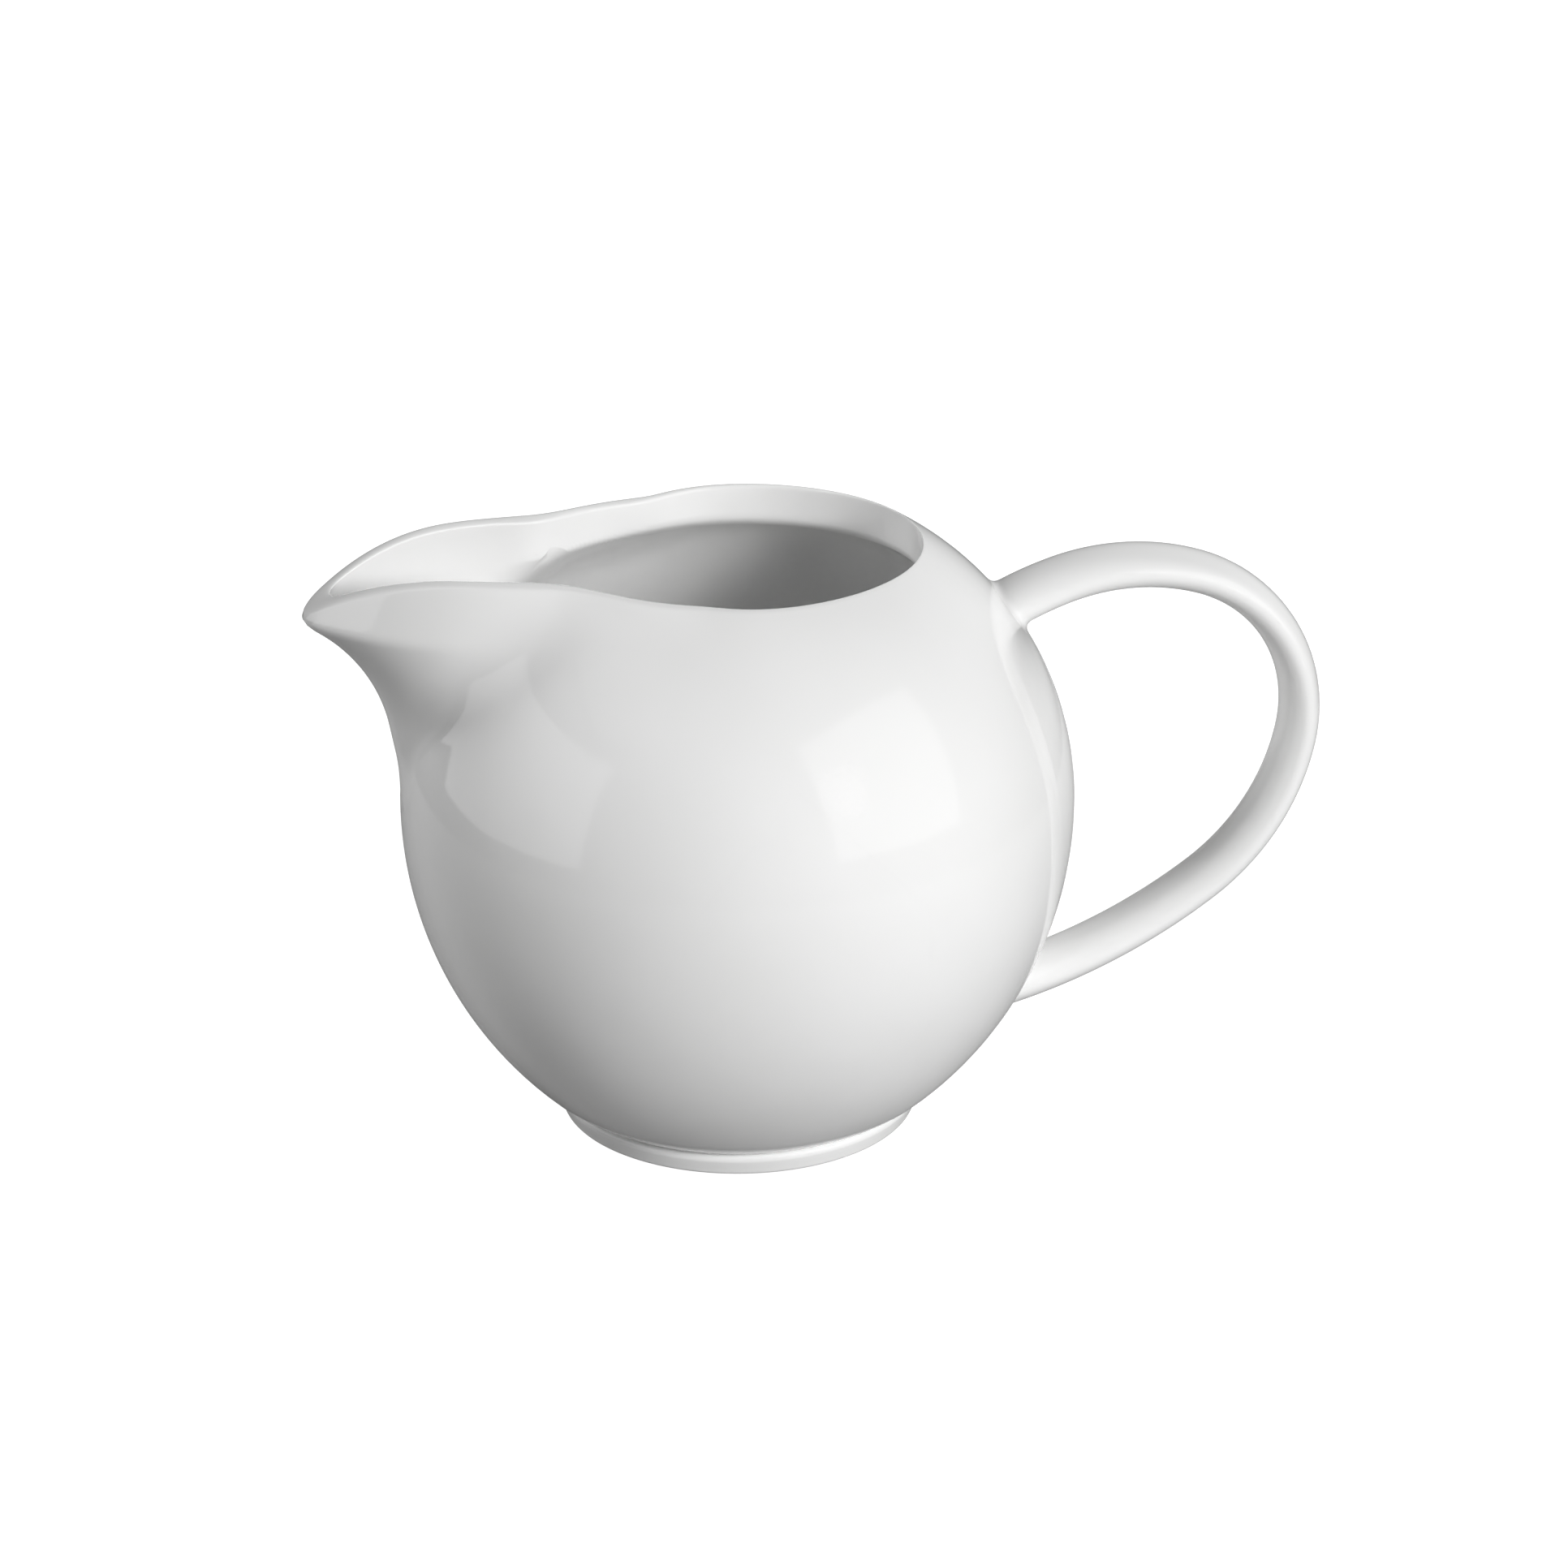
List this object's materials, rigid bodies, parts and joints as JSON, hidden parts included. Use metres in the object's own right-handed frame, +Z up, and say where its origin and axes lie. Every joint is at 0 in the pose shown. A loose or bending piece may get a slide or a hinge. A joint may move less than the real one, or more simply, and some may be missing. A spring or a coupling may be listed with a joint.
{
  "type": "ceramic pitcher",
  "caption": "Small round porcelain pitcher with a drawn beak spout, an open round mouth, a low foot ring and an oval-section loop handle.",
  "frame": {"origin": "centre of the foot ring, on the plane that the pitcher stands on", "axes": "+Z up along the axis of the bowl, +X from the axis towards the handle, so the spout points along -X; y = 0 is the mirror plane"},
  "size_m": [0.1369, 0.09, 0.0813],
  "materials": {
    "glaze": "smooth glossy white glaze on porcelain, opaque",
    "foot_glaze": "glossy white glaze on the sides, bare matt porcelain on the standing rim"
  },
  "bodies": {
    "root": {"bowl": "glaze", "spout": "glaze", "foot_ring": "foot_glaze", "handle": "glaze", "upper_handle_joint": "glaze", "lower_handle_joint": "glaze"}
  },
  "joints": []
}
